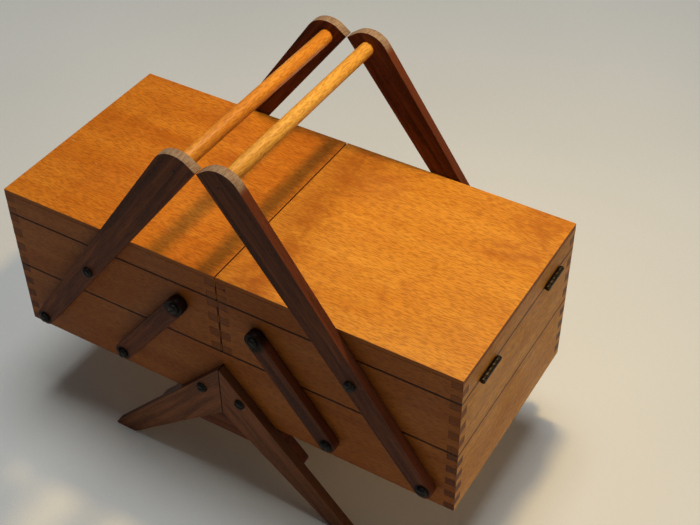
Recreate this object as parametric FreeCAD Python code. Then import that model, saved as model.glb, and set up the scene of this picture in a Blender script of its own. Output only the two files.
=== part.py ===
import FreeCAD, Part
import math
import os

# Sewing box with two trays that swing apart. Millimetres, +Z up, +X to the right, -Y to the front.
# The origin is on the floor, under the middle of the box. The right half is modelled, and the
# left half is its mirror image.

# Cases
box_length = 420.0
box_depth = 195.0
wall = 9.0
floor_clearance = 85.0
lower_box_height = 65.0
tray_height = 56.0
lid_rim_height = 20.4
lid_panel_thickness = 4.0
seam_gap = 0.3
centre_gap = 1.0

# Finger joints, and the bottom panels that sit in grooves
lower_box_fingers = 9
tray_fingers = 7
lid_fingers = 3
bottom_panel_thickness = 4.0
bottom_panel_height = 3.0
groove_depth = 4.0
groove_play = 0.3

# Arms and links, on the front and rear faces
strip_thickness = 8.0
strip_gap = 0.5
arm_pivot_x = 186.4
arm_pivot_height = 18.5
dowel_x = 19.0
dowel_height = 245.0
pivot_spacing = 104.0
pivot_lean = 37.5
link_pivot_x = 100.4
link_pivot_height = 19.6
link_radius = 8.0
arm_foot_radius = 7.8
arm_top_beyond_dowel = 15.0
arm_shoulder_radius = 20.0
arm_top_outer = 16.5
arm_top_inner = 12.0

# Handle dowels and the pins that hold them
dowel_radius = 6.0
dowel_socket_depth = 5.0
pin_radius = 0.8
pin_head_radius = 1.3
pin_head_length = 1.0
pin_length = 18.0

# Legs: the two in each pair meet in a mitre under the middle of the box
leg_thickness = 8.0
leg_top_height = 51.5
leg_notch_height = 0.7
foot_outer_x = 125.8
foot_inner_x = 103.5
foot_outer_radius = 1.5
foot_inner_radius = 5.0
brace_thickness = 8.5
brace_depth = 33.0
brace_corner_radius = 4.0
leg_screw_x = 18.7
leg_screw_height = 21.0

# Round-head screws
screw_radius = 2.0
screw_in_wall = 8.0
screw_head_radius = 4.8
screw_head_height = 3.0
screw_head_round = 2.6
screw_slot_width = 1.0
screw_slot_depth = 1.0
screw_turn_per_mm = 1.0
head_gap = 0.2
running_clearance = 0.05
open_pivot_clearance = 0.2

# Butt hinges, let into the seam between tray and lid
hinge_length = 28.0
hinge_offset = 56.0
leaf_depth = 8.0
leaf_thickness = 1.0
knuckle_count = 5
knuckle_radius = 2.1
knuckle_standoff = 2.4
knuckle_gap = 0.1
hinge_pin_radius = 1.0
hinge_screw_spacing = 16.0
hinge_screw_radius = 0.9
hinge_screw_head_radius = 1.7
hinge_screw_head_height = 0.8
hinge_screw_length = 8.0

# Levels and places worked out from the sizes above
lower_top = floor_clearance + lower_box_height
tray_bottom = lower_top + seam_gap
tray_top = tray_bottom + tray_height
lid_bottom = tray_top + seam_gap
rim_top = lid_bottom + lid_rim_height
lid_top = rim_top + lid_panel_thickness
half_length = box_length / 2
half_depth = box_depth / 2
inner_x = centre_gap / 2
strip_inner_y = half_depth + strip_gap
strip_outer_y = strip_inner_y + strip_thickness
hinge_axis_x = half_length + knuckle_standoff
hinge_axis_z = (tray_top + lid_bottom) / 2
lean = math.radians(pivot_lean)
arm_pivot = (arm_pivot_x, floor_clearance + arm_pivot_height)
link_pivot = (link_pivot_x, floor_clearance + link_pivot_height)
tray_arm_pivot = (
    arm_pivot[0] - pivot_spacing * math.sin(lean),
    arm_pivot[1] + pivot_spacing * math.cos(lean),
)
tray_link_pivot = (
    link_pivot[0] - pivot_spacing * math.sin(lean),
    link_pivot[1] + pivot_spacing * math.cos(lean),
)
dowel_place = (dowel_x, floor_clearance + dowel_height)
leg_screw_place = (leg_screw_x, floor_clearance + leg_screw_height)

X = FreeCAD.Vector(1, 0, 0)
Y = FreeCAD.Vector(0, 1, 0)
Z = FreeCAD.Vector(0, 0, 1)
ORIGIN = FreeCAD.Vector(0, 0, 0)
PAST_FACE = 1.0


# Basic shapes


def block(x0, x1, y0, y1, z0, z1):
    return Part.makeBox(x1 - x0, y1 - y0, z1 - z0, FreeCAD.Vector(x0, y0, z0))


def rod(radius, place, y0, y1):
    """A cylinder along Y; place is its X and Z."""
    return Part.makeCylinder(radius, y1 - y0, FreeCAD.Vector(place[0], y0, place[1]), Y)


def mirrored_x(shape):
    return shape.mirror(ORIGIN, X)


def mirrored_y(shape):
    return shape.mirror(ORIGIN, Y)


def without(shape, tools):
    """The shape with every tool cut out of it, as one clean solid."""
    return shape.cut(tools).removeSplitter().Solids[0]


def flat(x, z):
    return FreeCAD.Vector(x, 0, z)


def line(start, end):
    return Part.LineSegment(start, end).toShape()


def arc(start, centre, radius, heading, end):
    """An arc whose middle lies at a heading from its centre, in degrees from +Z towards +X."""
    angle = math.radians(heading)
    middle = centre + flat(radius * math.sin(angle), radius * math.cos(angle))
    return Part.Arc(start, middle, end).toShape()


def outer_tangent(centre_a, radius_a, centre_b, radius_b, side):
    """The two ends of a straight edge that touches both circles, on the +X (1) or -X (-1) side."""
    span = centre_b - centre_a
    heading = math.atan2(span.x, span.z)
    angle = heading + side * math.acos((radius_a - radius_b) / span.Length)
    normal = flat(math.sin(angle), math.cos(angle))
    return centre_a + normal * radius_a, centre_b + normal * radius_b


def plate(edges, thickness):
    """A flat piece with this outline, from Y = 0 towards the front."""
    face = Part.Face(Part.Wire(edges))
    return face.extrude(FreeCAD.Vector(0, -thickness, 0))


def save(name, pieces):
    shape = pieces[0] if len(pieces) == 1 else Part.makeCompound(pieces)
    shape.exportStep("parts/" + name + ".step")


# Screws and their holes


def round_head_screw(place, surface_y, gap):
    """A slotted screw along Y; surface_y is the outer face of the piece that it holds.

    Driven screws stop at any angle, so each slot is turned by an angle that goes with its place.
    """
    seat = -surface_y - gap
    head = rod(screw_head_radius, place, seat - screw_head_height, seat)
    outer_edges = [edge for edge in head.Edges if edge.BoundBox.YMax < seat - PAST_FACE]
    head = head.makeFillet(screw_head_round, outer_edges)
    slot = block(
        place[0] - screw_head_radius,
        place[0] + screw_head_radius,
        seat - screw_head_height - PAST_FACE,
        seat - screw_head_height + screw_slot_depth,
        place[1] - screw_slot_width / 2,
        place[1] + screw_slot_width / 2,
    )
    slot.rotate(FreeCAD.Vector(place[0], 0, place[1]), Y, place[0] * screw_turn_per_mm)
    shank = rod(screw_radius, place, seat, -half_depth + screw_in_wall)
    return head.fuse(shank).cut(slot).removeSplitter().Solids[0]


def screw_hole(place):
    """The blind hole of one screw in a front board."""
    return rod(screw_radius, place, -half_depth - PAST_FACE, -half_depth + screw_in_wall)


def front_and_rear(pieces):
    return pieces + [mirrored_y(piece) for piece in pieces]


def both_sides(pieces):
    return pieces + [mirrored_x(piece) for piece in pieces]


# Boxes with finger joints


def jointed_frame(x0, x1, z0, height, fingers):
    """Four boards. The end boards hold the top and bottom fingers at every corner."""
    boards = {
        "front": block(x0, x1, -half_depth, -half_depth + wall, z0, z0 + height),
        "rear": block(x0, x1, half_depth - wall, half_depth, z0, z0 + height),
        "left": block(x0, x0 + wall, -half_depth, half_depth, z0, z0 + height),
        "right": block(x1 - wall, x1, -half_depth, half_depth, z0, z0 + height),
    }
    finger = height / fingers
    pockets = {name: [] for name in boards}
    for end, corner_x in (("left", x0), ("right", x1 - wall)):
        for side, corner_y in (("front", -half_depth), ("rear", half_depth - wall)):
            for level in range(fingers):
                bottom = z0 + level * finger
                cell = block(corner_x, corner_x + wall, corner_y, corner_y + wall, bottom, bottom + finger)
                owner_is_end = level % 2 == 0
                pockets[side if owner_is_end else end].append(cell)
    return {name: without(board, pockets[name]) for name, board in boards.items()}


def bottom_panel(x0, x1, z0):
    """A thin panel held in grooves, and the block that cuts those grooves."""
    reach = wall - groove_depth
    bottom = z0 + bottom_panel_height
    top = bottom + bottom_panel_thickness
    panel = block(x0 + reach, x1 - reach, -half_depth + reach, half_depth - reach, bottom, top)
    play = groove_play
    groove = block(
        x0 + reach - play,
        x1 - reach + play,
        -half_depth + reach - play,
        half_depth - reach + play,
        bottom,
        top,
    )
    return panel, groove


# Legs and brace


def leg_edge_x(z):
    """Where the upper edge of a right leg is, at a height above the floor."""
    top = floor_clearance + leg_top_height
    return foot_outer_x * (top - z) / top


def right_front_leg():
    corners = [
        flat(0, floor_clearance + leg_top_height),
        flat(foot_outer_x, 0),
        flat(foot_inner_x, 0),
        flat(0, floor_clearance + leg_notch_height),
    ]
    edges = [line(corners[i - 1], corners[i]) for i in range(len(corners))]
    leg = plate(edges, leg_thickness)
    for corner_x, radius in ((foot_outer_x, foot_outer_radius), (foot_inner_x, foot_inner_radius)):
        leg = round_corner(leg, corner_x, 0, radius)
    leg.translate(FreeCAD.Vector(0, -half_depth, 0))
    return leg.cut(rod(screw_radius, leg_screw_place, -half_depth - leg_thickness, -half_depth))


def round_corner(shape, x, z, radius):
    """The shape with its edge along Y at this X and Z rounded."""
    tolerance = 0.01
    here = [
        edge
        for edge in shape.Edges
        if max(abs(edge.BoundBox.XMin - x), abs(edge.BoundBox.XMax - x)) < tolerance
        and max(abs(edge.BoundBox.ZMin - z), abs(edge.BoundBox.ZMax - z)) < tolerance
    ]
    return shape.makeFillet(radius, here)


def front_brace():
    """The board behind a pair of legs, under the box, with its ends flush with the legs."""
    low = floor_clearance - brace_depth
    top_x = leg_edge_x(floor_clearance)
    low_x = leg_edge_x(low)
    corners = [
        flat(-top_x, floor_clearance),
        flat(top_x, floor_clearance),
        flat(low_x, low),
        flat(-low_x, low),
    ]
    edges = [line(corners[i - 1], corners[i]) for i in range(len(corners))]
    brace = plate(edges, brace_thickness)
    for corner_x in (-low_x, low_x):
        brace = round_corner(brace, corner_x, low, brace_corner_radius)
    brace.translate(FreeCAD.Vector(0, -half_depth + brace_thickness, 0))
    return brace


# Arms, links and dowels


def placed_strip(strip, place, lean_radians):
    """A strip drawn upright from its lower pivot, leaned inwards and put on the front face."""
    strip.rotate(ORIGIN, Y, -math.degrees(lean_radians))
    strip.translate(FreeCAD.Vector(place[0], -strip_inner_y, place[1]))
    return strip


def pivot_hole(place, clearance):
    return rod(screw_radius + clearance, place, -strip_outer_y - PAST_FACE, -strip_inner_y + PAST_FACE)


def right_front_arm():
    """Narrow at the box and wide at the dowel, with one round shoulder and one sharp tip."""
    reach_x = arm_pivot[0] - dowel_place[0]
    reach_z = dowel_place[1] - arm_pivot[1]
    top = math.hypot(reach_x, reach_z) + arm_top_beyond_dowel
    foot = flat(0, 0)
    shoulder = flat(arm_top_outer - arm_shoulder_radius, top - arm_shoulder_radius)
    shoulder_top = flat(shoulder.x, top)
    tip = flat(-arm_top_inner, top)
    outer_low, outer_high = outer_tangent(foot, arm_foot_radius, shoulder, arm_shoulder_radius, 1)
    inner_low, _ = outer_tangent(foot, arm_foot_radius, tip, 0, -1)
    edges = [
        line(outer_low, outer_high),
        arc(outer_high, shoulder, arm_shoulder_radius, 45, shoulder_top),
        line(shoulder_top, tip),
        line(tip, inner_low),
        arc(inner_low, foot, arm_foot_radius, 180, outer_low),
    ]
    arm = placed_strip(plate(edges, strip_thickness), arm_pivot, math.atan2(reach_x, reach_z))
    socket_floor = -strip_inner_y - dowel_socket_depth
    holes = [
        pivot_hole(arm_pivot, running_clearance),
        pivot_hole(tray_arm_pivot, running_clearance),
        rod(dowel_radius, dowel_place, socket_floor, -strip_inner_y + PAST_FACE),
        dowel_pin(),
    ]
    return without(arm, holes)


def dowel_pin():
    """The headed pin through an arm into the end of its dowel, flush with the arm."""
    head = rod(pin_head_radius, dowel_place, -strip_outer_y, -strip_outer_y + pin_head_length)
    shank = rod(pin_radius, dowel_place, -strip_outer_y, -strip_outer_y + pin_length)
    return head.fuse(shank).removeSplitter().Solids[0]


def right_dowel():
    end = strip_inner_y + dowel_socket_depth
    return without(rod(dowel_radius, dowel_place, -end, end), front_and_rear([dowel_pin()]))


def right_front_link():
    low = flat(0, 0)
    high = flat(0, pivot_spacing)
    outer_low, outer_high = outer_tangent(low, link_radius, high, link_radius, 1)
    inner_low, inner_high = outer_tangent(low, link_radius, high, link_radius, -1)
    edges = [
        line(outer_low, outer_high),
        arc(outer_high, high, link_radius, 0, inner_high),
        line(inner_high, inner_low),
        arc(inner_low, low, link_radius, 180, outer_low),
    ]
    link = placed_strip(plate(edges, strip_thickness), link_pivot, lean)
    holes = [
        pivot_hole(link_pivot, running_clearance),
        pivot_hole(tray_link_pivot, open_pivot_clearance),
    ]
    return without(link, holes)


# Hinges


def hinge_leaf(centre_y, z0, knuckles, bore_radius):
    """One leaf, flush in the wood, with its share of the knuckles on the hinge's axis."""
    start = centre_y - hinge_length / 2
    pitch = hinge_length / knuckle_count
    z1 = z0 + leaf_thickness
    axis = (hinge_axis_x, hinge_axis_z)
    leaf = block(half_length - leaf_depth, half_length, start, start + hinge_length, z0, z1)
    for knuckle in knuckles:
        y0 = start + knuckle * pitch + knuckle_gap
        y1 = start + (knuckle + 1) * pitch - knuckle_gap
        tab = block(half_length - PAST_FACE, hinge_axis_x, y0, y1, z0, z1)
        leaf = leaf.fuse([tab, rod(knuckle_radius, axis, y0, y1)])
    return without(leaf, [rod(bore_radius, axis, start, start + hinge_length)])


def hinge_screw(y, z, direction):
    """A countersunk screw whose head is flush at z, going up (1) or down (-1)."""
    place = FreeCAD.Vector(half_length - leaf_depth / 2, y, z)
    heading = Z * direction
    head = Part.makeCone(
        hinge_screw_head_radius, hinge_screw_radius, hinge_screw_head_height, place, heading
    )
    shank = Part.makeCylinder(hinge_screw_radius, hinge_screw_length, place, heading)
    return head.fuse(shank).removeSplitter().Solids[0]


def hinge_screws(z, direction):
    return [
        hinge_screw(centre + offset, z, direction)
        for centre in (-hinge_offset, hinge_offset)
        for offset in (-hinge_screw_spacing / 2, hinge_screw_spacing / 2)
    ]


def mortises(z0):
    """The recesses that the two leaves on one piece sit in."""
    return [
        block(
            half_length - leaf_depth,
            half_length + PAST_FACE,
            centre - hinge_length / 2,
            centre + hinge_length / 2,
            z0,
            z0 + leaf_thickness,
        )
        for centre in (-hinge_offset, hinge_offset)
    ]


# Assemblies


def lower_case():
    boards = jointed_frame(-half_length, half_length, floor_clearance, lower_box_height, lower_box_fingers)
    panel, groove = bottom_panel(-half_length, half_length, floor_clearance)
    right_places = [arm_pivot, link_pivot, leg_screw_place]
    holes = both_sides([screw_hole(place) for place in right_places])
    leg_screws = [round_head_screw(leg_screw_place, half_depth + leg_thickness, 0)]
    pivot_screws = [round_head_screw(place, strip_outer_y, head_gap) for place in (arm_pivot, link_pivot)]
    leg = right_front_leg()
    brace = front_brace()
    return {
        "lower_front_board": [without(boards["front"], [groove] + holes)],
        "lower_rear_board": [without(boards["rear"], [groove] + [mirrored_y(hole) for hole in holes])],
        "lower_left_end": [without(boards["left"], [groove])],
        "lower_right_end": [without(boards["right"], [groove])],
        "lower_bottom_panel": [panel],
        "leg_front_right": [leg],
        "leg_front_left": [mirrored_x(leg)],
        "leg_rear_right": [mirrored_y(leg)],
        "leg_rear_left": [mirrored_x(mirrored_y(leg))],
        "leg_brace_front": [brace],
        "leg_brace_rear": [mirrored_y(brace)],
        "leg_screws": front_and_rear(both_sides(leg_screws)),
        "box_pivot_screws": front_and_rear(both_sides(pivot_screws)),
    }


def right_tray():
    boards = jointed_frame(inner_x, half_length, tray_bottom, tray_height, tray_fingers)
    panel, groove = bottom_panel(inner_x, half_length, tray_bottom)
    places = [tray_arm_pivot, tray_link_pivot]
    holes = [screw_hole(place) for place in places]
    leaf_bottom = tray_top - leaf_thickness
    screws = hinge_screws(tray_top, -1)
    leaves = [
        without(hinge_leaf(centre, leaf_bottom, range(0, knuckle_count, 2), hinge_pin_radius), screws)
        for centre in (-hinge_offset, hinge_offset)
    ]
    hinge_axis = (hinge_axis_x, hinge_axis_z)
    pins = [
        rod(hinge_pin_radius, hinge_axis, centre - hinge_length / 2, centre + hinge_length / 2)
        for centre in (-hinge_offset, hinge_offset)
    ]
    return {
        "tray_front_board": [without(boards["front"], [groove] + holes)],
        "tray_rear_board": [without(boards["rear"], [groove] + [mirrored_y(hole) for hole in holes])],
        "tray_inner_end": [without(boards["left"], [groove])],
        "tray_outer_end": [without(boards["right"], [groove] + mortises(leaf_bottom) + screws)],
        "tray_bottom_panel": [panel],
        "tray_pivot_screws": front_and_rear(
            [round_head_screw(place, strip_outer_y, head_gap) for place in places]
        ),
        "hinge_tray_leaves": leaves,
        "hinge_pins": pins,
        "tray_hinge_screws": screws,
    }


def right_lid():
    rails = jointed_frame(inner_x, half_length, lid_bottom, lid_rim_height, lid_fingers)
    screws = hinge_screws(lid_bottom, 1)
    bore = hinge_pin_radius + running_clearance
    leaves = [
        without(hinge_leaf(centre, lid_bottom, range(1, knuckle_count, 2), bore), screws)
        for centre in (-hinge_offset, hinge_offset)
    ]
    return {
        "lid_front_rail": [rails["front"]],
        "lid_rear_rail": [rails["rear"]],
        "lid_inner_rail": [rails["left"]],
        "lid_outer_rail": [without(rails["right"], mortises(lid_bottom) + screws)],
        "lid_panel": [block(inner_x, half_length, -half_depth, half_depth, rim_top, lid_top)],
        "hinge_lid_leaves": leaves,
        "lid_hinge_screws": screws,
    }


def right_handle():
    arm = right_front_arm()
    return {
        "arm_front": [arm],
        "arm_rear": [mirrored_y(arm)],
        "handle_dowel": [right_dowel()],
        "dowel_pins": front_and_rear([dowel_pin()]),
    }


def right_links():
    link = right_front_link()
    return {"link_front": [link], "link_rear": [mirrored_y(link)]}


os.makedirs("parts", exist_ok=True)
for name, pieces in lower_case().items():
    save(name, pieces)
for name, pieces in {**right_tray(), **right_lid(), **right_handle(), **right_links()}.items():
    save("right_" + name, pieces)
    save("left_" + name, [mirrored_x(piece) for piece in pieces])
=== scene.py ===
import math

import bmesh
import bpy
from mathutils import Matrix, Vector


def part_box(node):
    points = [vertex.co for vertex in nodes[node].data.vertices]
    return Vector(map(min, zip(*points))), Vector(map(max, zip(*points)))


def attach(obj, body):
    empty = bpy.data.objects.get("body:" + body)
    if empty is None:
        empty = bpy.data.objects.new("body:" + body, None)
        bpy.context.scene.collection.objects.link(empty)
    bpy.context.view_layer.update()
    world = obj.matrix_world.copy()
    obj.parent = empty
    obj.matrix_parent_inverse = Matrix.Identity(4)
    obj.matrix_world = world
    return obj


# The looks of a wooden sewing box with two trays that swing apart. Metres, +Z up, -Y to the front.
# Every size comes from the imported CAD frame, or is a named value below.

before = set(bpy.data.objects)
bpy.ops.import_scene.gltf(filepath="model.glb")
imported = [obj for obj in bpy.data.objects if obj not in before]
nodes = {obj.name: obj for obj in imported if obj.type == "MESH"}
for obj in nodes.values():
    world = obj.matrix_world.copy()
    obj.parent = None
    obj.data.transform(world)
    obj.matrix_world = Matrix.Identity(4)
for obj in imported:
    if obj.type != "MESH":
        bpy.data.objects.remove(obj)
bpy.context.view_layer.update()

MM = 0.001
ALONG_X = (0.0, 0.0, 0.0)
ALONG_Y = (0.0, 0.0, math.radians(-90.0))

# How far in from a strip's rounded end its axle lies
STRIP_END = 8.0 * MM

# How CAD edges are cleaned and eased
WELD_GAP = 0.002 * MM
FLAT_ANGLE = math.radians(0.4)
SHARP_ANGLE = math.radians(35.0)
BEVEL_SEGMENTS = 2
CASE_EDGE = 0.35 * MM
LID_EDGE = 0.45 * MM
PLYWOOD_EDGE = 0.2 * MM
ARM_EDGE = 0.9 * MM
STRIP_EDGE = 0.8 * MM
DOWEL_EDGE = 0.3 * MM
SCREW_EDGE = 0.18 * MM
HINGE_EDGE = 0.15 * MM

# Dirt, wear and painted shade: full strength within a core, and none beyond a fade
SEAM_CORE = 0.65 * MM
SEAM_FADE = 1.30 * MM
MITRE_CORE = 0.35 * MM
MITRE_FADE = 0.8 * MM
# How far the painted shade round the axles reaches, with some grime
AXLE_SHADE_AND_GRIME_AT_FOOT = 8.5 * MM
AXLE_SHADE_AND_GRIME_AT_TRAY = 13.0 * MM
WORN_FADE = 8.0 * MM
BAND_FROM_SEAM = 27.0 * MM
BAND_CORE = 2.0 * MM
BAND_FADE = 30.0 * MM

# The grain's repeats per metre, along it and across it
BEECH_FIGURE = (5.0, 55.0, 55.0)
BEECH_STREAKS = (30.0, 500.0, 500.0)
BEECH_FLECKS = (170.0, 1250.0, 1250.0)
WALNUT_FIGURE = (9.0, 150.0, 150.0)
WALNUT_STREAKS = (60.0, 900.0, 900.0)
WALNUT_PORES = (240.0, 1500.0, 1500.0)
WORN_PATCHES = (900.0, 160.0, 900.0)
SCRATCHES = (70.0, 620.0, 620.0)
SCRATCH_TURN = (0.0, 0.0, math.radians(24.0))

# Colours, linear. A walnut's side is its narrow faces.
AMBER = {
    "light": (0.77, 0.266, 0.021),
    "dark": (0.59, 0.162, 0.008),
    "fleck": (0.250, 0.056, 0.004),
}
AMBER_PALE = {
    "light": (0.77, 0.324, 0.038),
    "dark": (0.61, 0.214, 0.017),
    "fleck": (0.270, 0.074, 0.007),
}
# Painted shade: the same beech as TAN, made darker, for the boards that run along X, whose faces look to
# the front and back
BEECH_IN_SHADE = {
    "light": (0.44, 0.142, 0.022),
    "dark": (0.31, 0.083, 0.009),
    "fleck": (0.13, 0.032, 0.005),
}
# The same beech as it looks where lit, for the boards that run along Y
TAN = {
    "light": (0.72, 0.320, 0.052),
    "dark": (0.55, 0.205, 0.024),
    "fleck": (0.24, 0.075, 0.011),
}
HONEY = {
    "light": (0.80, 0.350, 0.046),
    "dark": (0.60, 0.205, 0.018),
    "fleck": (0.28, 0.078, 0.009),
}
HONEY_PALE = {
    "light": (0.80, 0.430, 0.080),
    "dark": (0.62, 0.270, 0.034),
    "fleck": (0.30, 0.100, 0.014),
}
BARE = {"light": (0.72, 0.47, 0.24), "dark": (0.56, 0.33, 0.15), "fleck": (0.36, 0.19, 0.085)}
END_GRAIN_LIGHT = (0.185, 0.050, 0.013)
END_GRAIN_DARK = (0.055, 0.014, 0.005)
# Near black: real dirt in the seams and joints, and painted shade round the axles
DIRT_AND_SHADE_BLACK = (0.010, 0.004, 0.002)
RUBBED_PALE = (0.66, 0.38, 0.16)
STAIN_RED = (0.36, 0.080, 0.006)
# Painted shade: the brown that darkens the lid panels' upright faces
RIM_PAINTED_SHADE = (0.30, 0.086, 0.011)
ARM_WALNUT = {
    "light": (0.225, 0.070, 0.029),
    "dark": (0.050, 0.0150, 0.0078),
    "side": (0.118, 0.026, 0.010),
}
LEG_WALNUT = {
    "light": (0.300, 0.112, 0.047),
    "dark": (0.115, 0.0400, 0.0185),
    # Painted shade: the legs' narrow sides are made much darker than their faces
    "side": (0.055, 0.018, 0.008),
}
# Worn edges of the dark wood, with a painted highlight along them
EDGE_WEAR_AND_GLINT = (0.24, 0.060, 0.016)
WORN_GREY = (0.36, 0.270, 0.190)
BLACK_STEEL = (0.011, 0.011, 0.0115)
BROWNED_STEEL = (0.035, 0.026, 0.019)
TARNISH_DARK = (0.026, 0.019, 0.014)
TARNISH_WARM = (0.085, 0.062, 0.034)
FLOOR_PALE = (0.88, 0.875, 0.86)
FLOOR_SHADE = (0.83, 0.825, 0.81)

# The small nail in the right lid's front rail
BRAD_IN = 7.5 * MM
BRAD_DOWN = 6.0 * MM
BRAD_RADIUS = 0.9 * MM
BRAD_RISE = 0.35 * MM
BRAD_RINGS = 4
BRAD_SIDES = 20

# The studio. A light is its name, place, target, diameter, watts and colour.
FLOOR_HALF = 4.0
SKY_COLOUR = (0.85, 0.93, 1.0, 1.0)
SKY_STRENGTH = 0.06
LIGHTS = (
    ("key_lamp", (0.157, 0.125, 0.794), (0.10, 0.04, 0.0), 0.055, 2.35, (1.0, 0.70, 0.27)),
    ("overhead_softbox", (0.0, 0.35, 3.40), (0.0, 0.0, 0.1), 1.5, 49.0, (0.96, 1.0, 0.99)),
    ("side_glow", (1.30, -0.15, 0.55), (0.2, 0.0, 0.15), 0.5, 1.6, (1.0, 0.82, 0.50)),
)
CAMERA_PLACE = (0.4486, -0.6422, 0.8757)
CAMERA_AZIMUTH = math.radians(31.147)
CAMERA_ELEVATION = math.radians(42.115)
CAMERA_ROLL = math.radians(-0.564)
CAMERA_LENS = 65.0
CAMERA_SENSOR = 36.0


class Tree:
    """One material's node tree. Each method adds a node and returns its main output."""

    def __init__(self, name):
        self.material = bpy.data.materials.new(name)
        self.material.use_nodes = True
        self.nodes = self.material.node_tree.nodes
        self.links = self.material.node_tree.links
        self.shader = self.nodes["Principled BSDF"]
        self.object_coords = self.nodes.new("ShaderNodeTexCoord")

    def fill(self, socket, value):
        if isinstance(value, bpy.types.NodeSocket):
            self.links.new(value, socket)
        elif socket.type == "RGBA":
            socket.default_value = (*value, 1.0)
        else:
            socket.default_value = value

    def surface(self, **values):
        """Sets the shader's own sockets, where an underscore in a name stands for a space."""
        for name, value in values.items():
            self.fill(self.shader.inputs[name.replace("_", " ")], value)

    def place(self):
        return self.object_coords.outputs["Object"]

    def parts(self, vector):
        node = self.nodes.new("ShaderNodeSeparateXYZ")
        self.fill(node.inputs[0], vector)
        return node.outputs

    def facing(self, axis):
        """1 where the surface faces along that axis, either way, and 0 where it faces across it."""
        return self.math("ABSOLUTE", self.parts(self.object_coords.outputs["Normal"])[axis])

    def turned(self, turn, stretch):
        """Object coordinates turned so that the grain lies along X, then stretched."""
        rotate = self.nodes.new("ShaderNodeMapping")
        self.fill(rotate.inputs["Vector"], self.place())
        rotate.inputs["Rotation"].default_value = turn
        scale = self.nodes.new("ShaderNodeMapping")
        self.fill(scale.inputs["Vector"], rotate.outputs[0])
        scale.inputs["Scale"].default_value = stretch
        return scale.outputs[0]

    def noise(self, vector, scale=1.0, detail=2.0, roughness=0.5, distortion=0.0):
        node = self.nodes.new("ShaderNodeTexNoise")
        self.fill(node.inputs["Vector"], vector)
        node.inputs["Scale"].default_value = scale
        node.inputs["Detail"].default_value = detail
        node.inputs["Roughness"].default_value = roughness
        node.inputs["Distortion"].default_value = distortion
        return node.outputs["Fac"]

    def math(self, operation, a, b=0.0):
        node = self.nodes.new("ShaderNodeMath")
        node.operation = operation
        self.fill(node.inputs[0], a)
        self.fill(node.inputs[1], b)
        return node.outputs[0]

    def spread(self, value, low, high, to_low=0.0, to_high=1.0):
        """value, taken smoothly from low..high to to_low..to_high."""
        node = self.nodes.new("ShaderNodeMapRange")
        node.interpolation_type = "SMOOTHSTEP"
        self.fill(node.inputs["Value"], value)
        node.inputs["From Min"].default_value = low
        node.inputs["From Max"].default_value = high
        node.inputs["To Min"].default_value = to_low
        node.inputs["To Max"].default_value = to_high
        return node.outputs[0]

    def mix(self, amount, a, b):
        node = self.nodes.new("ShaderNodeMix")
        node.data_type = "RGBA"
        self.fill(node.inputs["Factor"], amount)
        self.fill(node.inputs[6], a)
        self.fill(node.inputs[7], b)
        return node.outputs[2]

    def near_plane(self, axis, place, inner, outer):
        """1 within inner of the plane where that coordinate is place, and 0 beyond outer."""
        away = self.math("SUBTRACT", self.parts(self.place())[axis], place)
        return self.spread(self.math("ABSOLUTE", away), outer, inner)

    def near_axle(self, x, z, inner, outer):
        """1 within inner of the line along Y through x and z, and 0 beyond outer."""
        node = self.nodes.new("ShaderNodeVectorMath")
        node.operation = "DISTANCE"
        flat = self.nodes.new("ShaderNodeVectorMath")
        flat.operation = "MULTIPLY"
        self.fill(flat.inputs[0], self.place())
        self.fill(flat.inputs[1], (1.0, 0.0, 1.0))
        self.fill(node.inputs[0], flat.outputs[0])
        self.fill(node.inputs[1], (x, 0.0, z))
        return self.spread(node.outputs["Value"], outer, inner)

    def bump(self, height, distance, strength=1.0, under=None):
        node = self.nodes.new("ShaderNodeBump")
        self.fill(node.inputs["Height"], height)
        node.inputs["Distance"].default_value = distance
        node.inputs["Strength"].default_value = strength
        if under is not None:
            self.fill(node.inputs["Normal"], under)
        return node.outputs[0]

    def edge_mask(self, radius):
        """1 on the outer edges, within about radius of them, and 0 on the flats."""
        bevel = self.nodes.new("ShaderNodeBevel")
        bevel.samples = 4
        bevel.inputs["Radius"].default_value = radius
        geometry = self.nodes.new("ShaderNodeNewGeometry")
        alike = self.nodes.new("ShaderNodeVectorMath")
        alike.operation = "DOT_PRODUCT"
        self.fill(alike.inputs[0], bevel.outputs[0])
        self.fill(alike.inputs[1], geometry.outputs["Normal"])
        return self.spread(alike.outputs["Value"], 0.995, 0.86)


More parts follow.
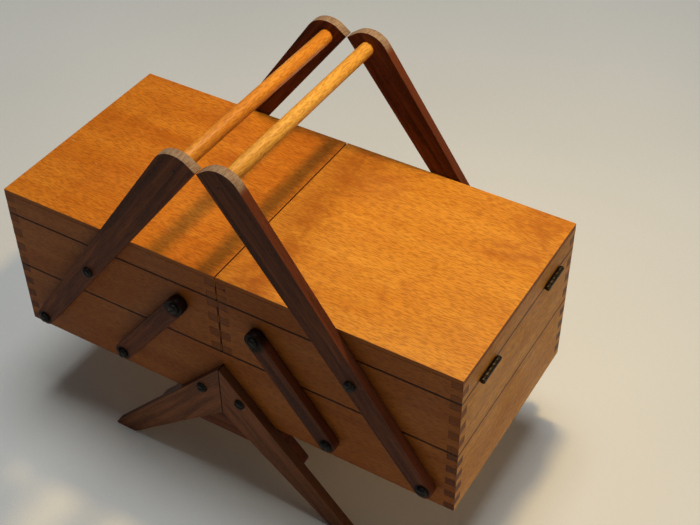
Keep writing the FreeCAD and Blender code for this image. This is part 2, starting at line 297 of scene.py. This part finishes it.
def beech(name, turn, colours, end_axis=None, end_dark=0.8, gloss=0.50, coat=0.0, shine=0.14,
          seams=(), stains=None, rim=False):
    """Lacquered beech: soft figure, short dark flecks along the grain, and end grain where it is cut.
    seams are (axis, place) planes, where old dirt lines a joint on the outer faces. A rim has rubbed
    edges, and its upright faces are darkened brown as painted shade, and duller than its top."""
    t = Tree(name)
    figure = t.noise(t.turned(turn, BEECH_FIGURE), 1.0, 3.0, 0.55, 0.5)
    streaks = t.noise(t.turned(turn, BEECH_STREAKS), 1.0, 3.0, 0.6, 0.3)
    flecks = t.spread(t.noise(t.turned(turn, BEECH_FLECKS), 1.0, 1.0), 0.44, 0.62)
    clouds = t.noise(t.place(), 14.0, 3.0, 0.55, 0.4)
    colour = t.mix(t.spread(figure, 0.25, 0.75), colours["dark"], colours["light"])
    colour = t.mix(t.spread(streaks, 0.40, 0.75, 0.0, 0.35), colour, colours["dark"])
    colour = t.mix(t.spread(clouds, 0.35, 0.70, 0.0, 0.35), colour, colours["dark"])
    if stains:
        colour = stained(t, colour, **stains)
    colour = t.mix(t.math("MULTIPLY", flecks, 0.47), colour, colours["fleck"])
    # Painted shade: a rim's upright faces are darkened towards a brown.
    if rim:
        colour = t.mix(t.spread(t.facing(2), 0.85, 0.50), colour, RIM_PAINTED_SHADE)
    if end_axis is not None:
        pores = t.noise(t.place(), 900.0, 2.0, 0.6)
        end_colour = t.mix(t.spread(pores, 0.35, 0.65), END_GRAIN_DARK, END_GRAIN_LIGHT)
        end_colour = t.mix(end_dark, BEECH_IN_SHADE["dark"], end_colour)
        colour = t.mix(t.spread(t.facing(end_axis), 0.60, 0.85), colour, end_colour)
    if rim:
        colour = t.mix(t.math("MULTIPLY", t.edge_mask(0.6 * MM), 0.35), colour, RUBBED_PALE)
    else:
        colour = t.mix(t.math("MULTIPLY", t.edge_mask(0.7 * MM), 0.65), colour, END_GRAIN_DARK)
    for axis, place in seams:
        on_face = t.spread(t.facing(axis), 0.80, 0.40)
        dirt = t.math("MULTIPLY", t.near_plane(axis, place, SEAM_CORE, SEAM_FADE), on_face)
        colour = t.mix(dirt, colour, DIRT_AND_SHADE_BLACK)
    roughness = t.spread(clouds, 0.30, 0.75, gloss - 0.05, gloss + 0.10)
    if rim:
        roughness = t.math("ADD", roughness, t.spread(t.facing(2), 0.85, 0.50, 0.0, 0.30))
    grain_bump = t.bump(t.math("ADD", flecks, streaks), -0.05 * MM, 0.5)
    lacquer_bump = t.bump(t.noise(t.place(), 60.0, 2.0), 0.25 * MM, 0.12, under=grain_bump)
    t.surface(Base_Color=colour, Roughness=roughness, Normal=lacquer_bump)
    t.surface(Specular_IOR_Level=shine, Coat_Weight=coat, Coat_Roughness=0.25)
    return t.material


def stained(t, colour, amount, band_x=None):
    """Reddish blotches of old spills on a lid, paler rubbed patches, and a red band along a seam."""
    blotches = t.noise(t.place(), 19.0, 4.0, 0.55, 1.1)
    colour = t.mix(t.spread(blotches, 0.49, 0.73, 0.0, amount), colour, STAIN_RED)
    if band_x is not None:
        ragged = t.noise(t.place(), 40.0, 3.0, 0.6, 0.5)
        straight = t.near_plane(0, band_x, BAND_CORE, BAND_FADE)
        band = t.math("MULTIPLY", straight, t.spread(ragged, 0.25, 0.60))
        colour = t.mix(t.math("MULTIPLY", band, 0.60), colour, STAIN_RED)
    rubbed = t.noise(t.place(), 9.0, 3.0, 0.5, 0.6)
    colour = t.mix(t.spread(rubbed, 0.50, 0.72, 0.0, 0.45), colour, AMBER["light"])
    scratch = t.noise(t.turned(SCRATCH_TURN, SCRATCHES), 1.0, 1.0)
    return t.mix(t.spread(scratch, 0.75, 0.77, 0.0, 0.4), colour, RUBBED_PALE)


def walnut(name, turn, tones, worn_above=None, dark_axles=(), joint_plane=None):
    """Dark stained wood, redder on its narrow sides, and on the legs darker there, as painted shade. It is
    worn grey above a height, where hands hold it, and black round the axles, which are (x, z, reach):
    painted shade of the screw heads and the gaps round them, with some grime."""
    t = Tree(name)
    figure = t.noise(t.turned(turn, WALNUT_FIGURE), 1.0, 3.0, 0.6, 0.5)
    streaks = t.noise(t.turned(turn, WALNUT_STREAKS), 1.0, 2.0, 0.6, 0.2)
    pores = t.spread(t.noise(t.turned(turn, WALNUT_PORES), 1.0, 1.0), 0.52, 0.68)
    colour = t.mix(t.spread(figure, 0.30, 0.75), tones["dark"], tones["light"])
    colour = t.mix(t.spread(streaks, 0.42, 0.70, 0.0, 0.55), colour, tones["dark"])
    colour = t.mix(t.math("MULTIPLY", pores, 0.35), colour, tones["light"])
    # The narrow sides take their own tone: redder on the arms, and on the legs a darker one that is painted
    # shade.
    narrow = t.spread(t.facing(1), 0.75, 0.35)
    side = t.math("MULTIPLY", narrow, t.spread(figure, 0.25, 0.65, 0.25, 0.7))
    colour = t.mix(side, colour, tones["side"])
    # Worn edges, and a painted highlight along them: the edges turn orange.
    wear_and_glint = t.math("MULTIPLY", t.edge_mask(1.0 * MM), t.spread(figure, 0.35, 0.60))
    colour = t.mix(t.math("MULTIPLY", wear_and_glint, 0.7), colour, EDGE_WEAR_AND_GLINT)
    if worn_above is not None:
        up = t.spread(t.parts(t.object_coords.outputs["Normal"])[2], 0.05, 0.60)
        high = t.spread(t.parts(t.place())[2], worn_above, worn_above + WORN_FADE)
        patches = t.noise(t.turned(turn, WORN_PATCHES), 1.0, 3.0, 0.6)
        patchy = t.spread(patches, 0.36, 0.62, 0.50, 1.0)
        worn = t.math("MULTIPLY", t.math("MULTIPLY", up, high), patchy)
        colour = t.mix(t.math("MULTIPLY", worn, 0.80), colour, WORN_GREY)
    # Painted shade of the screw heads and the gaps round them, with some grime: black round the axles.
    for x, z, reach in dark_axles:
        colour = t.mix(t.near_axle(x, z, 0.55 * reach, reach), colour, DIRT_AND_SHADE_BLACK)
    if joint_plane is not None:
        colour = t.mix(t.near_plane(0, joint_plane, MITRE_CORE, MITRE_FADE), colour, DIRT_AND_SHADE_BLACK)
    bump = t.bump(t.math("ADD", streaks, pores), -0.08 * MM, 0.6)
    t.surface(Base_Color=colour, Roughness=t.spread(figure, 0.30, 0.75, 0.42, 0.55), Normal=bump)
    t.surface(Specular_IOR_Level=0.08)
    return t.material


def dark_metal(name, base, warm, roughness, metallic):
    """Blackened steel, with a little brown where it has worn and tarnished, and a painted highlight,
    lighter and browner, on its edges.
    """
    t = Tree(name)
    patches = t.noise(t.place(), 420.0, 3.0, 0.6)
    grime = t.noise(t.place(), 1500.0, 2.0, 0.6)
    colour = t.mix(t.spread(patches, 0.42, 0.68), base, warm)
    # Worn edges with a painted highlight: lighter brown on the edges.
    wear_and_glint = t.edge_mask(0.35 * MM)
    colour = t.mix(t.math("MULTIPLY", wear_and_glint, 0.5), colour, tuple(1.8 * c for c in warm))
    t.surface(Base_Color=colour, Metallic=metallic, Normal=t.bump(grime, 0.06 * MM, 0.5))
    t.surface(Roughness=t.spread(patches, 0.3, 0.7, roughness - 0.08, roughness + 0.12))
    return t.material


def floor_material():
    """Pale, matt and nearly even, with a faint nap."""
    t = Tree("floor_pale")
    soft = t.noise(t.place(), 2.2, 2.0)
    nap = t.noise(t.place(), 520.0, 3.0, 0.6)
    colour = t.mix(t.spread(soft, 0.3, 0.7), FLOOR_SHADE, FLOOR_PALE)
    t.surface(Base_Color=colour, Roughness=0.9, Normal=t.bump(nap, 0.8 * MM, 0.35))
    return t.material


def slope_turn(start, end):
    """The turn that lays the line from start to end, in the XZ plane, along X."""
    return (0.0, math.atan2(end[1] - start[1], end[0] - start[0]), 0.0)


def middle(node):
    """The centre of a CAD node's box."""
    low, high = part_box(node)
    return (low + high) / 2.0


def dress(names, material, edge):
    """Gives CAD nodes their material, joins their flat faces whole and eases their edges by edge."""
    for name in names:
        piece = nodes[name]
        piece.data.materials.clear()
        piece.data.materials.append(material)
        weld = piece.modifiers.new("weld", "WELD")
        weld.merge_threshold = WELD_GAP
        flat = piece.modifiers.new("whole_flats", "DECIMATE")
        flat.decimate_type = "DISSOLVE"
        flat.angle_limit = FLAT_ANGLE
        bevel = piece.modifiers.new("eased_edges", "BEVEL")
        bevel.width = edge
        bevel.segments = BEVEL_SEGMENTS
        bevel.limit_method = "ANGLE"
        bevel.angle_limit = SHARP_ANGLE
        bevel.harden_normals = True


def names_with(*endings):
    """The CAD nodes whose names end so, in order."""
    return sorted(n for n in nodes if n.endswith(endings))


def dress_cases():
    """The boards, with their grain along their own length and dirt in the seams between the cases, the
    plywood bottoms and the lids' tops."""
    box_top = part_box("lower_front_board")[1].z
    tray_low, tray_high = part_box("right_tray_front_board")
    rail_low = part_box("right_lid_front_rail")[0]
    lower_seam = (2, (box_top + tray_low.z) / 2.0)
    upper_seam = (2, (tray_high.z + rail_low.z) / 2.0)
    centre_seam = (0, 0.0)
    # Name, boards along X, boards along Y, seams, and how dark the end grain is
    cases = (
        # The lower box's end grain is darkest, partly as painted shade low on the box and partly as dirt.
        ("lower_box", ("lower_front_board", "lower_rear_board"), ("lower_left_end", "lower_right_end"),
         (lower_seam,), 0.90),
        ("tray", ("tray_front_board", "tray_rear_board"), ("tray_inner_end", "tray_outer_end"),
         (lower_seam, upper_seam, centre_seam), 0.50),
        ("lid_rim", ("lid_front_rail", "lid_rear_rail"), ("lid_inner_rail", "lid_outer_rail"),
         (upper_seam,), 0.40),
    )
    for name, along, across, seams, end_dark in cases:
        # The boards along X take the darker copy of the beech, as painted shade.
        along_wood = beech(name + "_along", ALONG_X, BEECH_IN_SHADE, end_axis=0, end_dark=end_dark, seams=seams)
        across_wood = beech(name + "_across", ALONG_Y, TAN, end_axis=1, end_dark=end_dark, seams=seams)
        dress(names_with(*along), along_wood, CASE_EDGE)
        dress(names_with(*across), across_wood, CASE_EDGE)
    bottoms = beech("bare_plywood", ALONG_X, BARE, gloss=0.6)
    dress(names_with("bottom_panel"), bottoms, PLYWOOD_EDGE)
    seam_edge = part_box("right_lid_panel")[0].x
    # Side, colours and stains
    lids = (
        ("left", AMBER, {"amount": 0.30}),
        ("right", AMBER_PALE, {"amount": 0.60, "band_x": seam_edge + BAND_FROM_SEAM}),
    )
    for side, colours, stains in lids:
        top = beech("lid_amber_" + side, ALONG_X, colours, gloss=0.38, coat=0.05, shine=0.22,
                    stains=stains, rim=True)
        dress([side + "_lid_panel"], top, LID_EDGE)


def sloped_ends(node, k, inset):
    """The middles of a leaning strip's top and bottom ends, as (x, z), on the side where x has k's sign."""
    low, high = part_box(node)
    near, far = (low.x + inset, high.x - inset) if k > 0 else (high.x - inset, low.x + inset)
    return (near, high.z - inset), (far, low.z + inset)


def dress_strips():
    """The arms, links and legs, each with its grain along its own length."""
    for side, k in (("right", 1.0), ("left", -1.0)):
        dowel = middle(side + "_handle_dowel")
        foot = sloped_ends(side + "_arm_front", k, STRIP_END)[1]
        arm_turn = slope_turn((dowel.x, dowel.z), foot)
        arm = walnut(side + "_arm_walnut", arm_turn, ARM_WALNUT, worn_above=dowel.z,
                     dark_axles=((*foot, AXLE_SHADE_AND_GRIME_AT_FOOT),))
        dress([side + "_arm_front", side + "_arm_rear"], arm, ARM_EDGE)
        top, bottom = sloped_ends(side + "_link_front", k, STRIP_END)
        link = walnut(side + "_link_walnut", slope_turn(top, bottom), ARM_WALNUT,
                      dark_axles=((*top, AXLE_SHADE_AND_GRIME_AT_TRAY), (*bottom, AXLE_SHADE_AND_GRIME_AT_FOOT)))
        dress([side + "_link_front", side + "_link_rear"], link, STRIP_EDGE)
        leg_turn = slope_turn(*sloped_ends("leg_front_" + side, k, 0.0))
        leg = walnut(side + "_leg_walnut", leg_turn, LEG_WALNUT, joint_plane=0.0)
        dress(["leg_front_" + side, "leg_rear_" + side], leg, STRIP_EDGE)
    brace = walnut("brace_walnut", ALONG_X, ARM_WALNUT)
    dress(["leg_brace_front", "leg_brace_rear"], brace, STRIP_EDGE)


def dress_handles():
    """The dowels. The right one is paler."""
    for side, tones in (("left", HONEY), ("right", HONEY_PALE)):
        honey = beech(side + "_dowel_honey", ALONG_Y, tones, gloss=0.48, coat=0.04, shine=0.20)
        dress([side + "_handle_dowel"], honey, DOWEL_EDGE)


def dress_metal():
    """The screws, pins and hinges."""
    screw = dark_metal("screw_black", BLACK_STEEL, BROWNED_STEEL, 0.52, 0.70)
    hinge = dark_metal("hinge_dark", TARNISH_DARK, TARNISH_WARM, 0.46, 0.8)
    dress(names_with("pivot_screws", "leg_screws", "hinge_screws", "dowel_pins"), screw, SCREW_EDGE)
    dress(names_with("hinge_pins", "hinge_tray_leaves", "hinge_lid_leaves"), hinge, HINGE_EDGE)


def lid_brad():
    """The small nail that stands in the right lid's front rail, near the middle of the box."""
    low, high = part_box("right_lid_front_rail")
    centre = Vector((low.x + BRAD_IN, low.y, high.z - BRAD_DOWN))
    shape = bmesh.new()
    rows = []
    for ring in range(BRAD_RINGS):
        angle = math.radians(90.0) * ring / BRAD_RINGS
        reach = BRAD_RADIUS * math.cos(angle)
        row = []
        for i in range(BRAD_SIDES):
            turn = math.tau * i / BRAD_SIDES
            offset = (reach * math.cos(turn), -BRAD_RISE * math.sin(angle), reach * math.sin(turn))
            row.append(shape.verts.new(centre + Vector(offset)))
        rows.append(row)
    crown = shape.verts.new(centre + Vector((0.0, -BRAD_RISE, 0.0)))
    for outer, inner in zip(rows, rows[1:]):
        for i in range(BRAD_SIDES):
            j = (i + 1) % BRAD_SIDES
            shape.faces.new((outer[i], outer[j], inner[j], inner[i]))
    for i in range(BRAD_SIDES):
        shape.faces.new((rows[-1][i], rows[-1][(i + 1) % BRAD_SIDES], crown))
    shape.faces.new(reversed(rows[0]))
    bmesh.ops.recalc_face_normals(shape, faces=shape.faces)
    mesh = bpy.data.meshes.new("right_lid_brad")
    shape.to_mesh(mesh)
    shape.free()
    mesh.materials.append(dark_metal("brad_dark", BLACK_STEEL, BROWNED_STEEL, 0.5, 0.7))
    brad = bpy.data.objects.new("right_lid_brad", mesh)
    bpy.context.scene.collection.objects.link(brad)
    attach(brad, "right_lid")


def plain_stage():
    """The floor under the box."""
    mesh = bpy.data.meshes.new("floor")
    half = FLOOR_HALF
    corners = [(-half, -half, 0.0), (half, -half, 0.0), (half, half, 0.0), (-half, half, 0.0)]
    mesh.from_pydata(corners, [], [(0, 1, 2, 3)])
    floor = bpy.data.objects.new("floor", mesh)
    bpy.context.scene.collection.objects.link(floor)
    mesh.materials.append(floor_material())


def area_light(name, place, target, size, watts, colour):
    """A round lamp, not itself seen, that shines at target."""
    light = bpy.data.lights.new(name, "AREA")
    light.shape = "DISK"
    light.size = size
    light.energy = watts
    light.color = colour
    light.spread = math.pi
    lamp = bpy.data.objects.new(name, light)
    lamp.location = place
    lamp.rotation_euler = (Vector(target) - Vector(place)).to_track_quat("-Z", "Y").to_euler()
    lamp.visible_camera = False
    bpy.context.scene.collection.objects.link(lamp)


def studio():
    """A small warm lamp above, a large soft one overhead, a glow from the right and a faint cool sky."""
    scene = bpy.context.scene
    scene.view_settings.view_transform = "Standard"
    world = bpy.data.worlds.new("studio")
    world.use_nodes = True
    background = world.node_tree.nodes["Background"]
    background.inputs["Color"].default_value = SKY_COLOUR
    background.inputs["Strength"].default_value = SKY_STRENGTH
    scene.world = world
    for light in LIGHTS:
        area_light(*light)


def camera():
    """The photographer's view: from the right front, looking well down."""
    ahead = Vector((-math.sin(CAMERA_AZIMUTH), math.cos(CAMERA_AZIMUTH), 0.0))
    forward = ahead * math.cos(CAMERA_ELEVATION)
    forward.z = -math.sin(CAMERA_ELEVATION)
    level = Vector((math.cos(CAMERA_AZIMUTH), math.sin(CAMERA_AZIMUTH), 0.0))
    upward = level.cross(forward)
    right = level * math.cos(CAMERA_ROLL) + upward * math.sin(CAMERA_ROLL)
    up = upward * math.cos(CAMERA_ROLL) - level * math.sin(CAMERA_ROLL)
    data = bpy.data.cameras.new("camera")
    data.sensor_width = CAMERA_SENSOR
    data.lens = CAMERA_LENS
    eye = bpy.data.objects.new("camera", data)
    turn = Matrix((right, up, -forward)).transposed().to_4x4()
    eye.matrix_world = Matrix.Translation(CAMERA_PLACE) @ turn
    bpy.context.scene.collection.objects.link(eye)
    bpy.context.scene.camera = eye


dress_cases()
dress_strips()
dress_handles()
dress_metal()
lid_brad()
plain_stage()
studio()
camera()
